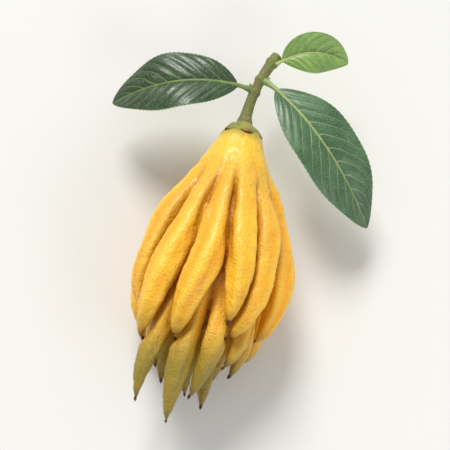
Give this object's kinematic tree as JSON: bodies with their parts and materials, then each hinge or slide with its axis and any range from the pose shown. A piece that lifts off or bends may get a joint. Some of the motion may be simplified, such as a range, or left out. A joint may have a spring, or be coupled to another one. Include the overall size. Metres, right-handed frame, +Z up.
{
  "type": "buddha's hand citron",
  "caption": "Fingered citron as picked: a yellow fruit split into long, closed fingers below a plain shoulder, on a short cut stalk with its calyx and leaves.",
  "frame": {"origin": "middle of the flat under the fruit's middle lower finger, where the fruit rests", "axes": "+Z up from the surface the fruit lies on; +Y along the fruit's axis towards the stalk, so the fingertips point to -Y; +X to the right as seen from above with the stalk at the top"},
  "size_m": [0.1369, 0.1998, 0.0655],
  "materials": {
    "peel": "satin",
    "calyx_green": "matte",
    "twig": "matte",
    "old_leaf": "satin",
    "leaf": "satin",
    "young_leaf": "satin"
  },
  "bodies": {
    "root": {"citron_fruit": "peel", "calyx": "calyx_green", "fruit_stalk": "twig", "leaf_left": "old_leaf", "leaf_right": "leaf", "leaf_young": "young_leaf"}
  },
  "joints": []
}
